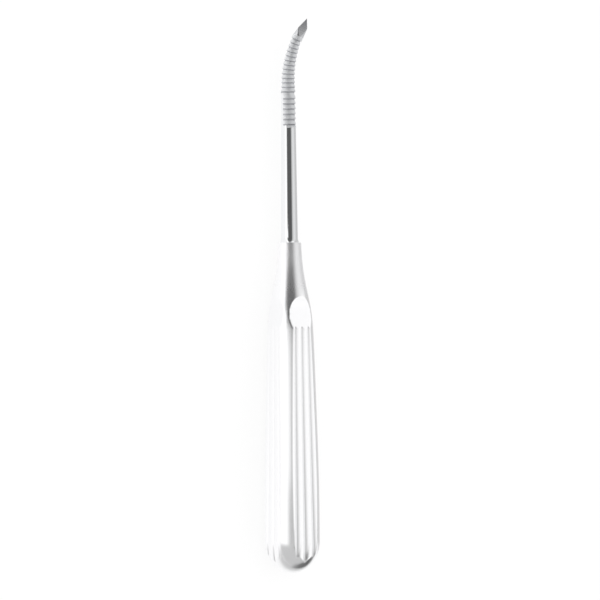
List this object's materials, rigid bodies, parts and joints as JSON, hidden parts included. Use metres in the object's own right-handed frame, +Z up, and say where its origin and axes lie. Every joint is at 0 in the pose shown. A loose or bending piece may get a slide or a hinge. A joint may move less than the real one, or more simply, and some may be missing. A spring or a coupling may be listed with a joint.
{
  "type": "antrum rasp",
  "caption": "Surgical antrum rasp: curved toothed rasp with a three-sided point on a tapering round shaft, set in a stout round steel handle with reeded faces.",
  "frame": {"origin": "centre of the bounding box's underside: on the surface that the tool lies on, under its middle", "axes": "+Y along the tool from the handle's butt to the point of the rasp, +Z up, with the tool lying on one reeded face; the rasp bends up and towards +X"},
  "size_m": [0.0176, 0.2032, 0.0176],
  "materials": {
    "polished_steel": "polished shaft, blasted matt teeth",
    "satin_steel": "satin"
  },
  "bodies": {
    "root": {"rasp_shaft": "polished_steel", "handle": "satin_steel"}
  },
  "joints": []
}
